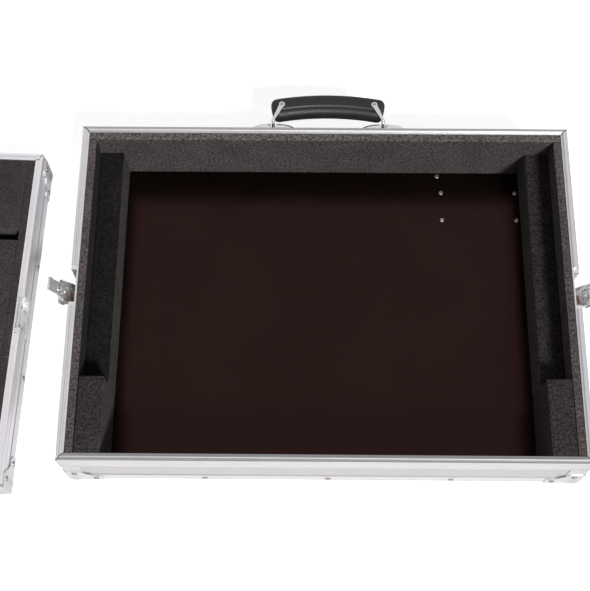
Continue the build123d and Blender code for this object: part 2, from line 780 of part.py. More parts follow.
# Lid.
lid_seat = lid_height - tongue_h - groove_gap - groove_floor
pad_edge = open_d / 2 + rim_w - slot_back
save(lid_place * make_floor(), "lid_panel")
for side in ("front", "back", "left", "right"):
    save(lid_place * make_wall(side, lid_seat, lid_height - keeper_drop), "lid_wall_" + side)
    save(lid_place * make_rim(side, lid_height, False, lid_flange), "lid_rim_" + side)
save(lid_place * as_group([make_bottom_angle(side) for side in outward]), "lid_angles")
save(lid_place * make_ball_corners(), "lid_ball_corners")
save(lid_place * as_group(make_shell_rivets()), "lid_rivets")
for side in ("left", "right"):
    save(lid_place * foam_strip(side, lid_height, lid_foam_drop, 0), "lid_liner_" + side)
save(lid_place * make_lid_pad(pad_edge, open_d / 2), "lid_pad_back")
save(lid_place * make_lid_pad(-open_d / 2, pad_edge - slot_w), "lid_pad_front")
for s, side in ((-1, "left"), (1, "right")):
    save(lid_place * make_dish(s, lid_height, keeper_drop, True), "lid_keeper_" + side)
save(lid_place * as_group(make_dish_rivets(-1, lid_height, keeper_drop, True)
                          + make_dish_rivets(1, lid_height, keeper_drop, True)), "lid_keeper_rivets")

# Origin: on the ground, in the middle of the box round the open base and the lid.
boxes = [piece.bounding_box() for piece in pieces.values()]
middle_x = (min(b.min.X for b in boxes) + max(b.max.X for b in boxes)) / 2
middle_y = (min(b.min.Y for b in boxes) + max(b.max.Y for b in boxes)) / 2
ground = min(b.min.Z for b in boxes)
for name, piece in pieces.items():
    placed = piece.moved(Location((-middle_x, -middle_y, -ground)))
    placed.label = name
    export_step(placed, "parts/" + name + ".step")
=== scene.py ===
import math

import bmesh
import bpy
from bpy.props import FloatProperty, FloatVectorProperty, PointerProperty
from bpy.types import Operator, Panel, PropertyGroup
from mathutils import Matrix, Vector, noise


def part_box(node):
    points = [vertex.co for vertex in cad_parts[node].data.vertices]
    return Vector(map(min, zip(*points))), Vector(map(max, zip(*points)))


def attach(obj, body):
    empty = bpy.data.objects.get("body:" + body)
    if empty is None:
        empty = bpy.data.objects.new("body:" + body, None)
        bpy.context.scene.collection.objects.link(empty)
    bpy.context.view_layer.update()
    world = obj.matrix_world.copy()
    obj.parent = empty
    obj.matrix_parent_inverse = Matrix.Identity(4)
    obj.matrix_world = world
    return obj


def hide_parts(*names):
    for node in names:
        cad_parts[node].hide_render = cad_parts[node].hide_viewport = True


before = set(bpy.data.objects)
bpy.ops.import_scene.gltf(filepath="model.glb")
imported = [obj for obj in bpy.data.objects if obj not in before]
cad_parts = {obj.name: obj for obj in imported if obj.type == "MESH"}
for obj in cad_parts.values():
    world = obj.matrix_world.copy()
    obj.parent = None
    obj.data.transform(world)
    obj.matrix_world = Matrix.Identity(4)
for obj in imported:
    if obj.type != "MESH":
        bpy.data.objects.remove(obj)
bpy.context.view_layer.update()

bl_info = {
    "name": "Keyboard Flight Case",
    "version": (1, 0, 0),
    "blender": (4, 5, 0),
    "location": "View3D > Sidebar > Flight Case",
    "description": "Dresses a foam lined flight case and its lift off lid",
    "category": "Object",
}

SIDES = ("front", "back", "left", "right")
ENDS = ((-1, "left"), (1, "right"))
WELD = 1e-6  # points closer than this become one

# How far the lid is turned against the base where it lies.
LID_TURN = math.radians(-1.8)

# The lean of the open latch arms, and the right latch's hinge as measured from base_middle.
LATCH_OPEN = math.radians(28)
LATCH_PIVOT = Vector((0.3052, -0.002, 0.0552))

# Half the case's length less half its width: its mitres lie where |x| - |y| is this.
MITRE_LEAD = 0.092

# Breadths of the dark lines along the mitres and of the painted shadow lines above the edge
# angles.
MITRE_LINE = 0.0008
SEAM_SHADOW = 0.0014


def base_middle():
    """The point on the ground below the middle of the base."""
    low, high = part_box("base_floor")
    return Vector(((low[0] + high[0]) / 2, (low[1] + high[1]) / 2, 0))


def lid_matrix():
    """Where the lid lies: set beside the base and turned a little."""
    low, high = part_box("lid_panel")
    middle = (Vector(low) + Vector(high)) / 2
    return Matrix.Translation((middle.x, middle.y, 0)) @ Matrix.Rotation(LID_TURN, 4, "Z")


def node_object(name):
    return bpy.data.objects[name]


def new_object(name, mesh, body, material, node=None):
    """Adds a finished mesh as one piece of the case."""
    obj = bpy.data.objects.new(name, mesh)
    bpy.context.scene.collection.objects.link(obj)
    mesh.materials.append(material)
    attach(obj, body)
    if node:
        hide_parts(*node)
    return obj


# Materials


class Tree:
    """Small helper that adds nodes to one material in reading order."""

    def __init__(self, name):
        self.material = bpy.data.materials.new(name)
        self.material.use_nodes = True
        self.nodes = self.material.node_tree.nodes
        self.links = self.material.node_tree.links
        self.shader = self.nodes["Principled BSDF"]
        coordinates = self.add("ShaderNodeTexCoord")
        self.place = coordinates.outputs["Object"]
        self.facing = coordinates.outputs["Normal"]

    def put(self, socket, value):
        """Links another node's socket, or sets a number, a vector or a colour."""
        if isinstance(value, bpy.types.NodeSocket):
            self.links.new(value, socket)
        elif socket.type == "RGBA" and len(value) == 3:
            socket.default_value = (*value, 1.0)
        else:
            socket.default_value = value

    def add(self, kind, inputs=None, **settings):
        node = self.nodes.new(kind)
        for key, value in settings.items():
            setattr(node, key, value)
        for key, value in (inputs or {}).items():
            self.put(node.inputs[key], value)
        return node

    def stretch(self, scale):
        """Object coordinates squeezed along some axes, for streaks and brushed lines."""
        inputs = {"Vector": self.place, "Scale": scale}
        return self.add("ShaderNodeMapping", inputs).outputs["Vector"]

    def turned(self, middle, turn):
        """X, Y and Z from the middle of one half of the case, along its own sides."""
        shift = self.add("ShaderNodeVectorMath", {0: self.place, 1: tuple(-middle)},
                         operation="ADD")
        back = self.add("ShaderNodeVectorRotate", {"Vector": shift.outputs[0], "Angle": -turn},
                        rotation_type="Z_AXIS")
        return self.add("ShaderNodeSeparateXYZ", {"Vector": back.outputs["Vector"]}).outputs

    def noise(self, scale, detail=4.0, rough=0.6, vector=None):
        inputs = {"Vector": vector or self.place, "Scale": scale, "Detail": detail,
                  "Roughness": rough}
        return self.add("ShaderNodeTexNoise", inputs).outputs["Fac"]

    def cells(self, scale):
        inputs = {"Vector": self.place, "Scale": scale}
        return self.add("ShaderNodeTexVoronoi", inputs).outputs["Distance"]

    def ramp(self, fac, stops):
        """Colour ramp through two stops, each a place and a colour."""
        node = self.add("ShaderNodeValToRGB", {"Fac": fac})
        for element, (place, colour) in zip(node.color_ramp.elements, stops):
            element.position = place
            element.color = (*colour, 1.0)
        return node.outputs["Color"]

    def level(self, fac, low, high, start=0.0, end=1.0):
        """Goes from low to high while fac goes from start to end."""
        inputs = {"Value": fac, "From Min": start, "From Max": end, "To Min": low, "To Max": high}
        return self.add("ShaderNodeMapRange", inputs).outputs["Result"]

    def upward(self, start, end):
        """0 on upright faces and 1 on faces that look up."""
        parts = self.add("ShaderNodeSeparateXYZ", {"Vector": self.facing})
        return self.level(parts.outputs["Z"], 0.0, 1.0, start, end)

    def math(self, operation, a, b=0.0):
        return self.add("ShaderNodeMath", {0: a, 1: b}, operation=operation).outputs[0]

    def mix(self, fac, a, b, blend="MIX"):
        inputs = {0: fac, 6: a, 7: b}
        return self.add("ShaderNodeMix", inputs, data_type="RGBA", blend_type=blend).outputs[2]

    def shaded(self, colour, fac, low, high, start, end):
        """A colour times a grey that goes from low to high while fac goes from start to end."""
        grey = self.mix(self.level(fac, 0.0, 1.0, start, end), (low,) * 3, (high,) * 3)
        return self.mix(1.0, colour, grey, "MULTIPLY")

    def bump(self, height, strength, distance, normal=None):
        inputs = {"Height": height, "Strength": strength, "Distance": distance}
        if normal:
            inputs["Normal"] = normal
        return self.add("ShaderNodeBump", inputs).outputs["Normal"]

    def finish(self, colour, roughness, normal=None, **fixed):
        """Feeds the shader. Further inputs go by name, with _ in place of a space."""
        inputs = {"Base Color": colour, "Roughness": roughness}
        if normal:
            inputs["Normal"] = normal
        inputs.update((key.replace("_", " "), value) for key, value in fixed.items())
        for key, value in inputs.items():
            self.put(self.shader.inputs[key], value)
        return self.material


def scaled(colour, amount):
    return tuple(min(1.0, c * amount) for c in colour)


def foam_finish(name, colour, level, upright, speck):
    """Pitted open cell foam, with one shade for faces that look up and one for upright faces,
    partly its own tone and partly painted light and shade.
    """
    tree = Tree(name)
    cells = tree.cells(420.0)
    coarse = tree.noise(310.0, detail=3.0, rough=0.62)
    grain = tree.noise(900.0, detail=3.0, rough=0.7)
    drift = tree.noise(26.0)
    pits = tree.level(cells, 0.0, 1.0, start=0.05, end=0.75)
    # Painted light and shade: faces that look up and upright faces take different shares of the
    # colour.
    shade = tree.mix(tree.upward(0.5, 0.85), scaled(colour, upright), scaled(colour, level))
    shade = tree.shaded(shade, drift, 0.84, 1.14, start=0.32, end=0.68)
    shade = tree.shaded(shade, coarse, 1 - speck, 1 + speck, start=0.37, end=0.63)
    shade = tree.shaded(shade, grain, 0.7, 1.3, start=0.4, end=0.66)
    normal = tree.bump(pits, strength=0.6, distance=0.0012)
    normal = tree.bump(coarse, 0.5, 0.0012, normal)
    normal = tree.bump(grain, 0.5, 0.0008, normal)
    return tree.finish(shade, 0.95, normal, Specular_IOR_Level=0.1, Sheen_Weight=0.02,
                       Sheen_Roughness=0.5)


def film_nodes(tree, colour):
    """Dark film on plywood: slow cloudy shading with a few pale flecks."""
    cloud = tree.noise(7.0, detail=5.0)
    fleck = tree.noise(420.0, detail=2.0, rough=0.5)
    shade = tree.ramp(cloud, [(0.32, scaled(colour, 0.4)), (0.68, scaled(colour, 1.9))])
    pale = tree.level(fleck, 0.0, 0.25, start=0.45, end=0.8)
    return tree.mix(pale, shade, scaled(colour, 3.0))


def film_finish(colour, sheen):
    """Half gloss film with the faint weave of the press plate; its gloss is tinted brown."""
    tree = Tree("brown_film")
    shade = film_nodes(tree, colour)
    weave = {"Vector": tree.place, "Scale": 900.0}
    press = tree.add("ShaderNodeTexBrick", weave).outputs["Fac"]
    smear = tree.noise(11.0, rough=0.65)
    rough = tree.level(smear, 0.18, 0.26, start=0.3, end=0.7)
    normal = tree.bump(press, strength=0.05, distance=0.0002)
    normal = tree.bump(tree.noise(60.0, detail=2.0), 0.06, 0.0006, normal)
    return tree.finish(shade, rough, normal, Specular_IOR_Level=0.31, Specular_Tint=sheen)


def wall_finish(name, film, sheet, middle, turn, reach, angle_top):
    """Walls are silver sheet outside, and dark film inside and on their cut edges.

    The sheet starts at reach and has a painted shadow line just above the top of its edge angle,
    whose height is given.
    """
    tree = Tree(name)
    x, y, z = tree.turned(middle, turn)
    far_x = tree.math("SUBTRACT", tree.math("ABSOLUTE", x), reach[0])
    far_y = tree.math("SUBTRACT", tree.math("ABSOLUTE", y), reach[1])
    outside = tree.math("GREATER_THAN", tree.math("MAXIMUM", far_x, far_y), 0.0)
    streak = tree.noise(1.0, detail=3.0, rough=0.5, vector=tree.stretch((30.0, 30.0, 900.0)))
    speck = tree.noise(1500.0, detail=2.0)
    streaky = tree.level(streak, 0.0, 1.0, start=0.35, end=0.65)
    silver = tree.mix(streaky, scaled(sheet, 0.95), scaled(sheet, 1.04))
    specks = tree.level(speck, 0.0, 0.25, start=0.55, end=0.8)
    silver = tree.mix(specks, silver, scaled(sheet, 0.8))
    # Painted shadow: a darker line on the sheet just above the edge angle.
    in_seam_shadow = tree.math("GREATER_THAN", angle_top + SEAM_SHADOW, z)
    silver = tree.mix(in_seam_shadow, silver, scaled(sheet, 0.5))
    shade = tree.mix(outside, film_nodes(tree, film), silver)
    rough = tree.level(outside, 0.33, 0.42)
    normal = tree.bump(speck, strength=0.08, distance=0.0002)
    return tree.finish(shade, rough, normal, Specular_IOR_Level=0.5, Coat_Weight=0.15,
                       Coat_Roughness=0.2)


def aluminium_finish(name, colour, top_shade, middle, turn):
    """Drawn aluminium with fine lines along its length and dark lines at its mitres.

    Faces that look up get a painted shade, down to the given share of the colour.
    """
    tree = Tree(name)
    along, across = 6.0, 1600.0
    lines_x = tree.noise(1.0, detail=3.0, vector=tree.stretch((along, across, across)))
    lines_y = tree.noise(1.0, detail=3.0, vector=tree.stretch((across, along, across)))
    drawn = tree.math("MULTIPLY", lines_x, lines_y)
    dull = tree.noise(38.0, detail=5.0, rough=0.65)
    # Painted shade on faces that look up.
    shade = tree.mix(tree.upward(0.75, 0.95), colour, scaled(colour, top_shade))
    shade = tree.shaded(shade, dull, 1.0, 0.93, start=0.5, end=0.75)
    shade = tree.shaded(shade, drawn, 0.95, 1.03, start=0.15, end=0.35)
    x, y, _ = tree.turned(middle, turn)
    lead = tree.math("SUBTRACT", tree.math("ABSOLUTE", x), tree.math("ABSOLUTE", y))
    from_mitre = tree.math("ABSOLUTE", tree.math("SUBTRACT", lead, MITRE_LEAD))
    at_mitre = tree.math("GREATER_THAN", MITRE_LINE, from_mitre)
    shade = tree.mix(at_mitre, shade, scaled(colour, 0.15))
    rough = tree.level(drawn, 0.28, 0.46, start=0.12, end=0.42)
    normal = tree.bump(drawn, strength=0.08, distance=0.0002)
    return tree.finish(shade, rough, normal, Metallic=0.85)


def plated_finish(name, colour, rough, scale, shine=0.95, rub_and_reflection=0.78):
    """Plated steel: a mottled shine with small dark spots, rubbed wear, and on the latches, where
    they go much darker, painted dark reflections.
    """
    tree = Tree(name)
    cloud = tree.noise(scale)
    spot_noise = tree.noise(scale * 6, detail=3.0, rough=0.7)
    spots = tree.level(spot_noise, 0.0, 0.7, start=0.55, end=0.75)
    shade = tree.mix(spots, colour, scaled(colour, rub_and_reflection))
    mottled = tree.level(cloud, *rough, start=0.3, end=0.7)
    normal = tree.bump(tree.noise(scale * 14, detail=2.0), strength=0.06, distance=0.0002)
    return tree.finish(shade, mottled, normal, Metallic=shine)


def grip_finish(colour):
    """Black moulded grip with a fine leather grain."""
    tree = Tree("grained_black")
    cells = tree.cells(1100.0)
    wrinkle = tree.noise(420.0, rough=0.65)
    pale = tree.level(wrinkle, 0.0, 1.0, start=0.4, end=0.75)
    shade = tree.mix(pale, colour, scaled(colour, 2.6))
    rough = tree.level(wrinkle, 0.32, 0.52, start=0.3, end=0.7)
    normal = tree.bump(cells, strength=0.35, distance=0.0005)
    normal = tree.bump(wrinkle, 0.3, 0.0006, normal)
    return tree.finish(shade, rough, normal, Specular_IOR_Level=0.45)


# Meshes


def smooth_mesh(name, bm):
    """Turns a bmesh into a mesh with smooth faces."""
    mesh = bpy.data.meshes.new(name)
    for face in bm.faces:
        face.smooth = True
    bm.to_mesh(mesh)
    bm.free()
    return mesh


def unevenness(point):
    """How far a cut face strays at a point, from about -1 to 1: slow waves and quick ones."""
    slow = noise.noise(point * 24)
    quick = noise.noise(point * 75 + Vector((3, 5, 7)))
    return slow * 0.7 + quick * 0.3


def foam_mesh(name, node, spacing, soft, wave):
    """Cuts foam to a node's outline, rounds its edges and lets its faces stray inward."""
    bm = bmesh.new()
    bm.from_mesh(node_object(node).data)
    bmesh.ops.remove_doubles(bm, verts=bm.verts, dist=WELD)
    bmesh.ops.dissolve_limit(bm, angle_limit=0.01, verts=bm.verts, edges=bm.edges)
    bmesh.ops.bevel(bm, geom=list(bm.edges), offset=soft, segments=3, profile=0.5,
                    affect="EDGES", clamp_overlap=True)
    turn = lid_matrix().to_3x3() if node.startswith("lid") else Matrix.Identity(3)
    for direction in turn.col:
        reach = [v.co.dot(direction) for v in bm.verts]
        low, high = min(reach), max(reach)
        count = int((high - low) / spacing)
        for k in range(1, count):
            place = direction * (low + (high - low) * k / count)
            bmesh.ops.bisect_plane(bm, geom=list(bm.verts) + list(bm.edges) + list(bm.faces),
                                   plane_co=place, plane_no=direction, dist=WELD)
    bm.normal_update()
    for v in bm.verts:
        v.co -= v.normal * wave * (0.5 + 0.5 * unevenness(v.co))
    return smooth_mesh(name, bm)


def circle(count):
    """Cosine and sine at even steps round a circle."""
    angles = [math.tau * k / count for k in range(count)]
    return [(math.cos(angle), math.sin(angle)) for angle in angles]


def latch_point(s, out, along, up):
    """A point on an open latch arm: outward, along the hinge pin and up the arm."""
    pivot = Vector((s * LATCH_PIVOT.x, LATCH_PIVOT.y, LATCH_PIVOT.z)) + base_middle()
    outward = Vector((s * math.cos(LATCH_OPEN), 0, -math.sin(LATCH_OPEN)))
    upward = Vector((s * math.sin(LATCH_OPEN), 0, math.cos(LATCH_OPEN)))
    return pivot + outward * out + Vector((0, along, 0)) + upward * up


def ring_mesh(name, rings):
    """Skins a row of rings, each a list of points of the same count, and closes its ends."""
    bm = bmesh.new()
    rows = [[bm.verts.new(point) for point in ring] for ring in rings]
    for one, two in zip(rows, rows[1:]):
        for k in range(len(one)):
            n = (k + 1) % len(one)
            bm.faces.new((one[k], one[n], two[n], two[k]))
    bm.faces.new(reversed(rows[0]))
    bm.faces.new(rows[-1])
    bmesh.ops.recalc_face_normals(bm, faces=bm.faces)
    return smooth_mesh(name, bm)


def coil_mesh(name, s, low, high, half, turns):
    """Flat wound spring that lies up the arm's channel and pushes on the foot of the hook."""
    wire, inset, bulge = 0.00045, 0.00075, 0.0014  # its radius, its place, half its thickness
    per_turn, round_wire = 16, 7
    steps = turns * per_turn
    path = []
    for k in range(steps + 1):
        angle = math.tau * k / per_turn
        path.append(latch_point(s, bulge * math.cos(angle) - inset, half * math.sin(angle),
                                low + (high - low) * k / steps))
    upward = latch_point(s, 0, 0, 1) - latch_point(s, 0, 0, 0)
    rings = []
    for k, point in enumerate(path):
        ahead = (path[min(k + 1, steps)] - path[max(k - 1, 0)]).normalized()
        side = ahead.cross(upward).normalized()
        lift = side.cross(ahead)
        rings.append([point + (side * cos + lift * sin) * wire for cos, sin in circle(round_wire)])
    return ring_mesh(name, rings)


# Radius and height of the pressed cup, from its foot over its lip to its middle.
CUP_PROFILE = [(0.0044, 0.0004), (0.0043, 0.0013), (0.0037, 0.0017), (0.0031, 0.0014),
               (0.0023, 0.0007), (0.0010, 0.0004)]


def cup_mesh(name, s, up):
    """Round cup pressed in the inner face of a hook, with a raised lip and a dished middle."""
    return ring_mesh(name, [[latch_point(s, -height, radius * cos, up + radius * sin)
                             for cos, sin in circle(24)]
                            for radius, height in CUP_PROFILE])


# Section of the grip in millimetres, away from the case and up, with a crease in its top.
GRIP_SECTION = [(12.9, 8.4), (11.2, 10.2), (8.0, 10.9), (3.0, 10.9), (-1.6, 10.8), (-3.3, 10.5),
                (-4.0, 8.5), (-4.9, 8.4), (-5.7, 10.0), (-7.6, 9.9), (-10.4, 8.6), (-12.6, 6.3),
                (-13.9, 3.0), (-14.4, -1.0), (-13.9, -5.0), (-12.2, -8.4), (-9.4, -10.4),
                (-5.0, -11.0), (0.0, -11.0), (5.0, -11.0), (9.6, -10.5), (12.4, -8.6),
                (14.0, -5.4), (14.5, -1.0), (14.3, 3.4), (13.8, 6.4)]


def grip_mesh():
    """Arched grip with a flat top, a moulded crease and a full rounded front."""
    trim, rise, reach = 0.0022, 0.0075, 0.0145  # cut at each end, the arch, the section's reach
    cap, tip = 0.008, 0.45  # how soon the ends start to round off, and the share left at a tip
    count = 44
    low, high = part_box("handle_grip")
    half = (high[0] - low[0]) / 2 - trim
    across = (low[0] + high[0]) / 2
    level = (low[2] + high[2]) / 2
    radius = (half * half + rise * rise) / (2 * rise)
    crown = high[1] - reach
    rings = []
    for k in range(count + 1):
        t = -math.cos(math.pi * k / count)
        bend = t * math.asin(half / radius)
        centre = Vector((across + radius * math.sin(bend),
                         crown - radius * (1 - math.cos(bend)), level))
        outward = Vector((math.sin(bend), math.cos(bend), 0))
        cut = max(0.0, 1 - half * (1 - abs(t)) / cap)
        shrink = math.sqrt(max(0.0, 1 - cut ** 2)) * (1 - tip) + tip
        ring = []
        for n, z in GRIP_SECTION:
            grain = noise.noise(Vector((centre.x * 90, n * 0.5, z * 0.5))) * 0.12
            ring.append(centre + outward * ((n + grain) * shrink / 1000)
                        + Vector((0, 0, (z - abs(grain)) * shrink / 1000)))
        rings.append(ring)
    return ring_mesh("handle_grip_moulded", rings)


def cover_mesh(name, node, size):
    """Domed oval cover over a foot of the handle, slotted for the arm that swings in it."""
    lift, lip, thickness = 0.0002, 0.0014, 0.0012
    slot = 0.0033  # half its width
    oval = 0.85  # 1 is an ellipse, and less is squarer
    rounds, steps = 10, 24
    low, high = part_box(node)
    across = (low[0] + high[0]) / 2
    level = (low[2] + high[2]) / 2
    wall = low[1] + lift
    bm = bmesh.new()
    for part in (-1, 1):
        rings = []
        for k in range(rounds + 1):
            r = math.sin(math.pi / 2 * k / rounds)
            depth = lip + (size[2] - lip) * math.sqrt(max(0.0, 1 - r ** 3))
            row = []
            for j in range(steps + 1):
                angle = math.pi / 2 - math.pi * j / steps
                cos, sin = max(0.0, math.cos(angle)), math.sin(angle)
                x = cos ** oval * (size[0] - slot) * r + slot
                z = math.copysign(abs(sin) ** oval, sin) * size[1] * r
                row.append(bm.verts.new((across + part * x, wall + depth, level + z)))
            rings.append(row)
        for one, two in zip(rings, rings[1:]):
            for j in range(steps):
                quad = (one[j], two[j], two[j + 1], one[j + 1])
                bm.faces.new(quad if part > 0 else tuple(reversed(quad)))
    bmesh.ops.remove_doubles(bm, verts=bm.verts, dist=WELD)
    bmesh.ops.solidify(bm, geom=list(bm.faces), thickness=thickness)
    bmesh.ops.recalc_face_normals(bm, faces=bm.faces)
    return smooth_mesh(name, bm)


# Each foam node with the body that carries it and its kind, a property of CaseFoam; a kind's
# shades for tops and sides are partly painted light and shade.
FOAM_NODES = {
    "foam_liner_back": ("base", "liner"),
    "foam_liner_left": ("base", "shaded_left_liner"),
    "foam_liner_right": ("base", "shaded_liner"),
    "foam_block_left": ("base", "block"),
    "foam_block_right": ("base", "shaded_block"),
    "foam_corner_left": ("base", "corner"),
    "foam_corner_right": ("base", "corner"),
    "lid_liner_left": ("lid", "pad"),
    "lid_liner_right": ("lid", "pad"),
    "lid_pad_back": ("lid", "pad"),
    "lid_pad_front": ("lid", "pad"),
}


class CaseFoam(PropertyGroup):
    colour: FloatVectorProperty(
        name="Foam colour", description="Colour of a fresh cut of the foam",
        subtype="COLOR", default=(0.137, 0.118, 0.117), min=0, max=1)
    # The shades of tops and sides below are partly the foam's own tone and partly painted light
    # and shade, set for each piece.
    liner: FloatVectorProperty(
        name="Back liner", description="Shade of its top, shade of its sides, speckle",
        size=3, default=(1.0, 0.56, 0.6), min=0, max=2)
    # Painted shade: the left liner's sides are kept nearly black.
    shaded_left_liner: FloatVectorProperty(
        name="Left liner", description="Shade of its top, shade of its sides, speckle",
        size=3, default=(0.78, 0.06, 0.45), min=0, max=2)
    shaded_liner: FloatVectorProperty(
        name="Right liner", description="Shade of its top, shade of its sides, speckle",
        size=3, default=(0.74, 0.74, 0.45), min=0, max=2)
    block: FloatVectorProperty(
        name="Left block", description="Shade of its top, shade of its sides, speckle",
        size=3, default=(0.1, 0.42, 0.55), min=0, max=2)
    shaded_block: FloatVectorProperty(
        name="Right block", description="Shade of its top, shade of its sides, speckle",
        size=3, default=(0.25, 0.66, 0.55), min=0, max=2)
    corner: FloatVectorProperty(
        name="Corner blocks", description="Shade of their top, shade of their sides, speckle",
        size=3, default=(0.34, 0.5, 0.5), min=0, max=2)
    pad: FloatVectorProperty(
        name="Lid pads", description="Shade of their top, shade of their sides, speckle",
        size=3, default=(0.45, 0.6, 0.28), min=0, max=2)
    edge: FloatProperty(
        name="Edge round", description="How far the cut edges are rounded over",
        unit="LENGTH", default=0.0016, min=0.0002, max=0.004)
    wave: FloatProperty(
        name="Unevenness", description="How far the cut faces wander inward",
        unit="LENGTH", default=0.0008, min=0, max=0.003)


class CaseBoard(PropertyGroup):
    film: FloatVectorProperty(
        name="Film colour", description="Dark film inside the case",
        subtype="COLOR", default=(0.0018, 0.0013, 0.0010), min=0, max=1)
    sheen: FloatVectorProperty(
        name="Film gloss", description="Tint of the gloss on the film",
        subtype="COLOR", default=(1.0, 0.46, 0.41), min=0, max=1)
    sheet: FloatVectorProperty(
        name="Sheet colour", description="Silver sheet on the outside",
        subtype="COLOR", default=(0.49, 0.47, 0.49), min=0, max=1)
    reach: FloatVectorProperty(
        name="Sheet starts", description="How far out the silver side begins",
        subtype="XYZ", unit="LENGTH", size=2, default=(0.3075, 0.2155))


class CaseMetal(PropertyGroup):
    aluminium: FloatVectorProperty(
        name="Aluminium", description="Colour of the extrusions",
        subtype="COLOR", default=(0.74, 0.73, 0.75), min=0, max=1)
    lid_rim: FloatVectorProperty(
        name="Lid rim", description="Colour of the lid's brighter rim",
        subtype="COLOR", default=(0.88, 0.86, 0.89), min=0, max=1)
    steel: FloatVectorProperty(
        name="Steel", description="Colour of the plated corners and of the hooks' cups",
        subtype="COLOR", default=(0.72, 0.72, 0.73), min=0, max=1)
    nickel: FloatVectorProperty(
        name="Nickel", description="Colour of the handle's metal",
        subtype="COLOR", default=(0.74, 0.73, 0.72), min=0, max=1)
    latch: FloatVectorProperty(
        name="Latch steel", description="Colour of the latches and of the lid's keepers",
        subtype="COLOR", default=(0.80, 0.80, 0.80), min=0, max=1)
    rivet: FloatVectorProperty(
        name="Rivets", description="Colour of the small rivet, screw and bolt heads",
        subtype="COLOR", default=(0.36, 0.35, 0.35), min=0, max=1)
    copper: FloatVectorProperty(
        name="Spring wire", description="Colour of the latch springs",
        subtype="COLOR", default=(0.42, 0.22, 0.11), min=0, max=1)
    # Painted shade on the tops of the base rims, a share for each side after how the light falls
    # on it.
    rim_top_shade: FloatVectorProperty(
        name="Rim wear", description="Shade of rim tops: front, back, left, right",
        size=4, default=(0.5, 0.64, 1.0, 0.88), min=0, max=1)


class CaseGrip(PropertyGroup):
    colour: FloatVectorProperty(
        name="Grip colour", description="Colour of the grip",
        subtype="COLOR", default=(0.007, 0.0065, 0.0065), min=0, max=1)
    cover: FloatVectorProperty(
        name="Cover colour", description="Colour of the covers on the handle's feet",
        subtype="COLOR", default=(0.84, 0.82, 0.83), min=0, max=1)
    cover_size: FloatVectorProperty(
        name="Cover size", description="Half width, half height and depth",
        subtype="XYZ", unit="LENGTH", default=(0.033, 0.0175, 0.0138))


class CaseStage(PropertyGroup):
    floor: FloatVectorProperty(
        name="Floor colour", description="Colour of the floor",
        subtype="COLOR", default=(0.9, 0.9, 0.9), min=0, max=1)
    glow: FloatProperty(
        name="Floor glow", description="Light that the camera sees on the floor besides",
        default=0.76, min=0)
    sun: FloatProperty(
        name="Key light", description="Strength of the key light", default=3.1, min=0)
    spread: FloatProperty(
        name="Key size", description="How wide the key light looks",
        subtype="ANGLE", default=math.radians(12))
    toward: FloatVectorProperty(
        name="Key direction", description="Where the key light comes from",
        subtype="XYZ", default=(0.5, -0.95, 1.0))
    fill: FloatProperty(
        name="Fill light", description="Strength of the light from all round",
        default=0.2, min=0)
    gleam: FloatProperty(
        name="Gleam", description="Brightness that shiny surfaces reflect",
        default=0.8, min=0)
    elevation: FloatProperty(
        name="Camera elevation", description="How steeply the camera looks down",
        subtype="ANGLE", default=math.radians(68.97))
    heading: FloatProperty(
        name="Camera heading", description="Camera's turn from straight ahead",
        subtype="ANGLE", default=math.radians(-0.83))
    roll: FloatProperty(
        name="Camera roll", description="Camera's tilt about its own line of sight",
        subtype="ANGLE", default=math.radians(-0.38))
    place: FloatVectorProperty(
        name="Camera place", description="Where it stands, from the base's middle",
        subtype="TRANSLATION", unit="LENGTH", default=(-0.02917, -0.5066, 1.3848))
    lens: FloatProperty(
        name="Lens", description="Focal length in millimetres", default=69.5, min=10)


def paint(node, material):
    mesh = node_object(node).data
    mesh.materials.clear()
    mesh.materials.append(material)


class FLIGHTCASE_OT_foam(Operator):
    """Cuts the liners, blocks and lid pads from charcoal foam"""

    bl_idname = "flightcase.foam"
    bl_label = "Foam"

    def execute(self, context):
        sizes = context.scene.case_foam
        finishes = {}
        for node, (body, kind) in FOAM_NODES.items():
            if kind not in finishes:
                finishes[kind] = foam_finish(kind + "_foam", sizes.colour, *getattr(sizes, kind))
            spacing = 0.02 if "pad" in node else 0.012  # the broad lid pads get a wider grid
            mesh = foam_mesh(node + "_cut", node, spacing, sizes.edge, sizes.wave)
            piece = new_object(node + "_cut", mesh, body, finishes[kind], [node])
        return {"FINISHED"}


class FLIGHTCASE_OT_board(Operator):
    """Finishes the floor, the lid panel and the walls"""

    bl_idname = "flightcase.board"
    bl_label = "Boards"

    def execute(self, context):
        board = context.scene.case_board
        film = film_finish(board.film, board.sheen)
        walls = {
            "base_wall_": (base_middle(), 0.0, "base_angle_front"),
            "lid_wall_": (lid_matrix().translation, LID_TURN, "lid_angles"),
        }
        for wall, (middle, turn, angle) in walls.items():
            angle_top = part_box(angle)[1][2]
            faces = wall_finish(wall + "faces", board.film, board.sheet, middle, turn,
                                board.reach, angle_top)
            for side in SIDES:
                paint(wall + side, faces)
        paint("base_floor", film)
        paint("lid_panel", film)
        return {"FINISHED"}


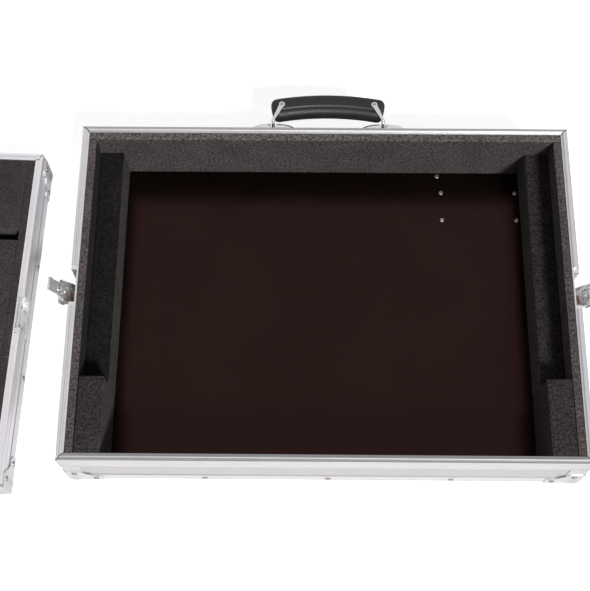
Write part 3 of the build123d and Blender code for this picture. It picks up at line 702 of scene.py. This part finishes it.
class FLIGHTCASE_OT_metal(Operator):
    """Finishes the rims, edge angles, corners, rivets, latches and the handle's metal"""

    bl_idname = "flightcase.metal"
    bl_label = "Metal"

    def execute(self, context):
        metal = context.scene.case_metal
        base_at = (base_middle(), 0.0)
        lid_at = (lid_matrix().translation, LID_TURN)
        unshaded_top = 1.0
        extrusion = aluminium_finish("drawn_aluminium", metal.aluminium, unshaded_top, *base_at)
        lid_angle = aluminium_finish("lid_angle_aluminium", metal.aluminium, unshaded_top, *lid_at)
        lid_rim = aluminium_finish("lid_rim_aluminium", metal.lid_rim, unshaded_top, *lid_at)
        steel = plated_finish("zinc_plate", metal.steel, (0.25, 0.42), 60.0)
        rivet = plated_finish("rivet_steel", metal.rivet, (0.3, 0.45), 140.0)
        # The latches' spots go much darker: painted dark reflections on the shiny plate.
        latch = plated_finish("latch_zinc", metal.latch, (0.16, 0.4), 110.0, shine=0.8,
                              rub_and_reflection=0.3)
        nickel = plated_finish("nickel_plate", metal.nickel, (0.14, 0.26), 90.0)
        # Painted shade: each side of the base rim gets its own share on its top.
        for side, top_shade in zip(SIDES, metal.rim_top_shade):
            rim = aluminium_finish("rim_aluminium_" + side, metal.aluminium, top_shade, *base_at)
            paint("base_rim_" + side, rim)
            paint("lid_rim_" + side, lid_rim)
            paint("base_angle_" + side, extrusion)
        paint("base_corner_angles", extrusion)
        paint("lid_angles", lid_angle)
        for node in ("base_ball_corners", "lid_ball_corners"):
            paint(node, steel)
        for node in ("base_rivets", "lid_rivets", "floor_bolts", "latch_rivets",
                     "lid_keeper_rivets", "handle_eye_rivets", "handle_plate_screws"):
            paint(node, rivet)
        for _, side in ENDS:
            for part in ("latch_dish_", "latch_link_", "latch_hook_", "latch_key_",
                         "lid_keeper_"):
                paint(part + side, latch)
            for part in ("handle_plate_", "handle_arm_"):
                paint(part + side, nickel)
        return {"FINISHED"}


class FLIGHTCASE_OT_latch(Operator):
    """Adds the latches' springs and the pressed cups in their hooks"""

    bl_idname = "flightcase.latch"
    bl_label = "Latch Details"

    def execute(self, context):
        metal = context.scene.case_metal
        copper = plated_finish("spring_wire", metal.copper, (0.3, 0.5), 300.0)
        steel = plated_finish("cup_steel", metal.steel, (0.12, 0.22), 120.0)
        for s, side in ENDS:
            mesh = coil_mesh("latch_spring", s, low=0.0036, high=0.0148, half=0.0043, turns=9)
            new_object("latch_spring_" + side, mesh, "latch_" + side, copper)
            mesh = cup_mesh("hook_cup", s, up=0.0398)
            new_object("hook_cup_" + side, mesh, "hook_" + side, steel)
        return {"FINISHED"}


class FLIGHTCASE_OT_grip(Operator):
    """Moulds the grip of the carrying handle and presses the covers over its feet"""

    bl_idname = "flightcase.grip"
    bl_label = "Handle"

    def execute(self, context):
        handle = context.scene.case_grip
        grained = grip_finish(handle.colour)
        new_object("handle_grip_moulded", grip_mesh(), "handle", grained,
                   ["handle_grip"])
        nickel = plated_finish("cover_nickel", handle.cover, (0.2, 0.34), 70.0)
        for _, side in ENDS:
            mesh = cover_mesh("plate_cover", "handle_plate_" + side, handle.cover_size)
            new_object("plate_cover_" + side, mesh, "base", nickel)
        return {"FINISHED"}


def floor_finish(stage):
    """White floor that keeps the case's shadow and glows a little for the camera."""
    tree = Tree("floor_white")
    tree.finish(stage.floor, 0.8)
    matt = tree.shader.outputs[0]
    rays = tree.add("ShaderNodeLightPath")
    glow = tree.add("ShaderNodeEmission", {"Color": (1, 1, 1, 1), "Strength": stage.glow})
    both = tree.add("ShaderNodeAddShader", {0: matt, 1: glow.outputs[0]})
    seen = tree.add("ShaderNodeMixShader",
                    {0: rays.outputs["Is Camera Ray"], 1: matt, 2: both.outputs[0]})
    tree.put(tree.nodes["Material Output"].inputs["Surface"], seen.outputs[0])
    return tree.material


def studio_air(stage):
    """Weak light from all round, brighter in reflections and plain white for the camera."""
    world = bpy.data.worlds.new("studio_air")
    world.use_nodes = True
    nodes, links = world.node_tree.nodes, world.node_tree.links
    rays = nodes.new("ShaderNodeLightPath")
    air = nodes["Background"]
    air.inputs["Color"].default_value = (1.0, 0.98, 0.975, 1)
    air.inputs["Strength"].default_value = stage.fill
    last = air.outputs[0]
    for ray, strength in (("Is Glossy Ray", stage.gleam), ("Is Camera Ray", 1.0)):
        glow = nodes.new("ShaderNodeBackground")
        glow.inputs["Color"].default_value = (1, 1, 1, 1)
        glow.inputs["Strength"].default_value = strength
        pick = nodes.new("ShaderNodeMixShader")
        for k, source in enumerate((rays.outputs[ray], last, glow.outputs[0])):
            links.new(source, pick.inputs[k])
        last = pick.outputs[0]
    links.new(last, nodes["World Output"].inputs["Surface"])
    return world


def key_sun(stage):
    """Key light with soft edged shadows."""
    lamp = bpy.data.lights.new("key_sun", "SUN")
    lamp.energy = stage.sun
    lamp.angle = stage.spread
    sun = bpy.data.objects.new("key_sun", lamp)
    sun.rotation_euler = Vector(stage.toward).to_track_quat("Z", "Y").to_euler()
    return sun


def view_camera(stage):
    """Camera that looks steeply down from above the front edge of the base."""
    data = bpy.data.cameras.new("view_camera")
    data.lens = stage.lens
    data.sensor_width = 36.0
    data.clip_start = 0.05
    data.clip_end = 60
    camera = bpy.data.objects.new("view_camera", data)
    heading, dip, roll = stage.heading, stage.elevation, stage.roll
    ahead = Vector((math.sin(heading) * math.cos(dip), math.cos(heading) * math.cos(dip),
                    -math.sin(dip)))
    flat = Vector((math.cos(heading), -math.sin(heading), 0))
    lift = flat.cross(ahead)
    right = flat * math.cos(roll) + lift * math.sin(roll)
    up = lift * math.cos(roll) - flat * math.sin(roll)
    turn = Matrix((right, up, -ahead)).transposed()
    stand = Matrix.Translation(base_middle() + Vector(stage.place))
    camera.matrix_world = stand @ turn.to_4x4()
    return camera


class FLIGHTCASE_OT_stage(Operator):
    """Lays the floor and sets the lights and the camera"""

    bl_idname = "flightcase.stage"
    bl_label = "Stage"

    def execute(self, context):
        scene = context.scene
        stage = scene.case_stage
        reach = 30.0
        corners = [(-reach, -reach, 0), (reach, -reach, 0), (reach, reach, 0), (-reach, reach, 0)]
        mesh = bpy.data.meshes.new("studio_floor")
        mesh.from_pydata(corners, [], [(0, 1, 2, 3)])
        mesh.materials.append(floor_finish(stage))
        floor = bpy.data.objects.new("studio_floor", mesh)
        scene.collection.objects.link(floor)
        scene.world = studio_air(stage)
        scene.collection.objects.link(key_sun(stage))
        scene.camera = view_camera(stage)
        scene.collection.objects.link(scene.camera)
        scene.view_settings.view_transform = "Standard"
        return {"FINISHED"}


class FLIGHTCASE_PT_panel(Panel):
    bl_label = "Flight Case"
    bl_idname = "FLIGHTCASE_PT_panel"
    bl_space_type = "VIEW_3D"
    bl_region_type = "UI"
    bl_category = "Flight Case"

    def draw(self, context):
        layout = self.layout
        for group in GROUPS:
            values = getattr(context.scene, group)
            box = layout.box()
            for name in values.__annotations__:
                box.prop(values, name)
        for operator in OPERATORS:
            layout.operator(operator.bl_idname)


GROUPS = {
    "case_foam": CaseFoam,
    "case_board": CaseBoard,
    "case_metal": CaseMetal,
    "case_grip": CaseGrip,
    "case_stage": CaseStage,
}
OPERATORS = (
    FLIGHTCASE_OT_foam,
    FLIGHTCASE_OT_board,
    FLIGHTCASE_OT_metal,
    FLIGHTCASE_OT_latch,
    FLIGHTCASE_OT_grip,
    FLIGHTCASE_OT_stage,
)


def register():
    for name, group in GROUPS.items():
        bpy.utils.register_class(group)
        setattr(bpy.types.Scene, name, PointerProperty(type=group))
    for operator in OPERATORS:
        bpy.utils.register_class(operator)
    bpy.utils.register_class(FLIGHTCASE_PT_panel)


def unregister():
    bpy.utils.unregister_class(FLIGHTCASE_PT_panel)
    for operator in reversed(OPERATORS):
        bpy.utils.unregister_class(operator)
    for name, group in reversed(list(GROUPS.items())):
        delattr(bpy.types.Scene, name)
        bpy.utils.unregister_class(group)


def main():
    register()
    bpy.ops.flightcase.foam()
    bpy.ops.flightcase.board()
    bpy.ops.flightcase.metal()
    bpy.ops.flightcase.latch()
    bpy.ops.flightcase.grip()
    bpy.ops.flightcase.stage()


if __name__ == "__main__":
    main()
